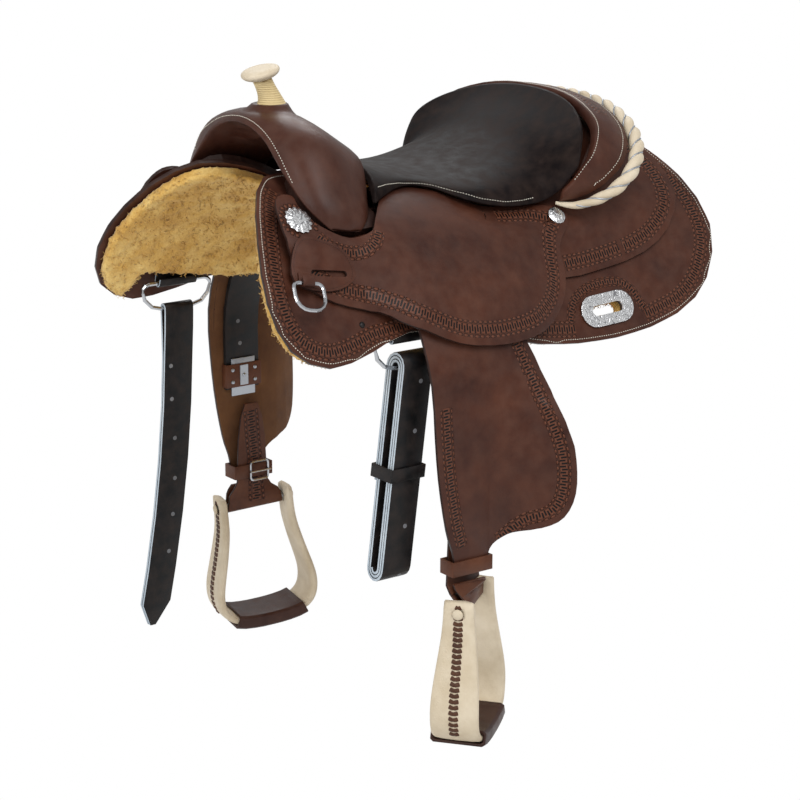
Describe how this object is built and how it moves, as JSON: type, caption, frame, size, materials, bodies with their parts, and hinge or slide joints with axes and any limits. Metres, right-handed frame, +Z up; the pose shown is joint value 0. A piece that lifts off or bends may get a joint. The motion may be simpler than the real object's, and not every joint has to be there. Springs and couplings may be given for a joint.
{
  "type": "western reining saddle",
  "caption": "Western reining saddle on its tree, with swinging fenders, turned stirrups, rigging dees, a latigo and an off billet, for riding a horse.",
  "frame": {"origin": "on the centre plane, 200 mm below the centre of the horn's foot, in the space that the horse's back fills", "axes": "-Y is the front, the way the horse faces, +X is the horse's near (left) side, +Z is up"},
  "size_m": [0.674, 0.748, 0.873],
  "materials": {
    "black_leather": "smooth, pale cut edges",
    "brown_leather": "oiled, smooth",
    "fleece": "curly woollen fleece",
    "rawhide": "matt rawhide",
    "seat_leather": "smooth, polished",
    "silver": "polished, engraved",
    "steel": "stainless, satin",
    "wood": "plain"
  },
  "bodies": {
    "saddle": {"cantle_back": "brown_leather", "cantle_roll": "brown_leather", "fork": "wood", "fork_cover": "brown_leather", "ground_seat": "brown_leather", "horn_cap": "rawhide", "horn_neck": "rawhide", "padded_seat": "seat_leather", "rope_binding": "rawhide", "left_tree_bar": "wood", "left_skirt": "brown_leather", "left_fleece": "fleece", "left_seat_jockey": "brown_leather", "left_back_jockey": "brown_leather", "left_latigo_keeper": "brown_leather", "left_rear_slot_plate": "silver", "left_front_concho": "silver", "left_rear_concho": "silver", "left_rigging_leather": "black_leather", "left_breast_dee_chape": "brown_leather", "right_tree_bar": "wood", "right_skirt": "brown_leather", "right_fleece": "fleece", "right_seat_jockey": "brown_leather", "right_back_jockey": "brown_leather", "right_latigo_keeper": "brown_leather", "right_rear_slot_plate": "silver", "right_front_concho": "silver", "right_rear_concho": "silver", "right_rigging_leather": "black_leather", "right_breast_dee_chape": "brown_leather"},
    "left_fender_set": {"left_fender": "brown_leather", "left_stirrup_leather": "black_leather", "left_fender_tongue": "brown_leather", "left_hobble_strap": "brown_leather", "left_hobble_buckle": "steel", "left_length_buckle_plate": "steel"},
    "left_stirrup": {"left_stirrup_frame": "rawhide", "left_stirrup_tread": "brown_leather", "left_stirrup_bolt": "steel"},
    "left_sleeve": {"left_length_buckle_sleeve": "steel"},
    "left_prong": {"left_buckle_tongue": "steel"},
    "left_breast_ring": {"left_breast_dee": "steel"},
    "left_rigging_ring": {"left_rigging_dee": "steel"},
    "right_fender_set": {"right_fender": "brown_leather", "right_stirrup_leather": "black_leather", "right_fender_tongue": "brown_leather", "right_hobble_strap": "brown_leather", "right_hobble_buckle": "steel", "right_length_buckle_plate": "steel"},
    "right_stirrup": {"right_stirrup_frame": "rawhide", "right_stirrup_tread": "brown_leather", "right_stirrup_bolt": "steel"},
    "right_sleeve": {"right_length_buckle_sleeve": "steel"},
    "right_prong": {"right_buckle_tongue": "steel"},
    "right_breast_ring": {"right_breast_dee": "steel"},
    "right_rigging_ring": {"right_rigging_dee": "steel"},
    "latigo_hank": {"latigo": "black_leather", "latigo_loop": "black_leather"},
    "billet": {"off_billet": "black_leather"}
  },
  "joints": [
    {"name": "left_fender_swing", "type": "hinge", "parent": "saddle", "child": "left_fender_set", "pos_m": [0.12216, 0.1221, 0.06837], "axis": [0.8134, 0.043, 0.5802], "range_deg": [-5, 6]},
    {"name": "left_stirrup_swing", "type": "hinge", "parent": "left_fender_set", "child": "left_stirrup", "pos_m": [0.26328, 0.128, -0.43], "axis": [-0.6157, 0.788, 0], "range_deg": [-30, 30]},
    {"name": "left_length_sleeve_slide", "type": "slide", "parent": "left_fender_set", "child": "left_sleeve", "axis": [0, 0, 1], "range_m": [0, 0.03]},
    {"name": "left_buckle_tongue_turn", "type": "hinge", "parent": "left_fender_set", "child": "left_prong", "pos_m": [0.24808, 0.145, -0.378], "axis": [0, 0, 1], "range_deg": [-75, 0]},
    {"name": "left_breast_dee_swing", "type": "hinge", "parent": "saddle", "child": "left_breast_ring", "pos_m": [0.21944, -0.092, 0.0153], "axis": [0, 0.9836, -0.1805], "range_deg": [-100, 0]},
    {"name": "left_rigging_dee_swing", "type": "hinge", "parent": "saddle", "child": "left_rigging_ring", "pos_m": [0.21831, 0.064, -0.07495], "axis": [0, 1, 0], "range_deg": [0, 20]},
    {"name": "right_fender_swing", "type": "hinge", "parent": "saddle", "child": "right_fender_set", "pos_m": [-0.12216, 0.1258, 0.06837], "axis": [0.8134, -0.043, -0.5802], "range_deg": [-5, 6]},
    {"name": "right_stirrup_swing", "type": "hinge", "parent": "right_fender_set", "child": "right_stirrup", "pos_m": [-0.26328, 0.128, -0.43], "axis": [0.2071, 0.9744, 0.0872], "range_deg": [-30, 30]},
    {"name": "right_length_sleeve_slide", "type": "slide", "parent": "right_fender_set", "child": "right_sleeve", "axis": [0, 0, 1], "range_m": [0, 0.03]},
    {"name": "right_buckle_tongue_turn", "type": "hinge", "parent": "right_fender_set", "child": "right_prong", "pos_m": [-0.24808, 0.145, -0.378], "axis": [0, 0, 1], "range_deg": [0, 75]},
    {"name": "right_breast_dee_swing", "type": "hinge", "parent": "saddle", "child": "right_breast_ring", "pos_m": [-0.21944, -0.092, 0.0153], "axis": [0, 0.9836, -0.1805], "range_deg": [0, 100]},
    {"name": "right_rigging_dee_swing", "type": "hinge", "parent": "saddle", "child": "right_rigging_ring", "pos_m": [-0.21999, -0.02, -0.06782], "axis": [0, 1, 0], "range_deg": [-20, 0]},
    {"name": "latigo_swing", "type": "hinge", "parent": "left_rigging_ring", "child": "latigo_hank", "pos_m": [0.21831, 0.064, -0.11195], "axis": [0, 1, 0], "range_deg": [0, 20]},
    {"name": "off_billet_swing", "type": "hinge", "parent": "right_rigging_ring", "child": "billet", "pos_m": [-0.21999, -0.02, -0.10482], "axis": [0, 1, 0], "range_deg": [-20, 0]}
  ]
}
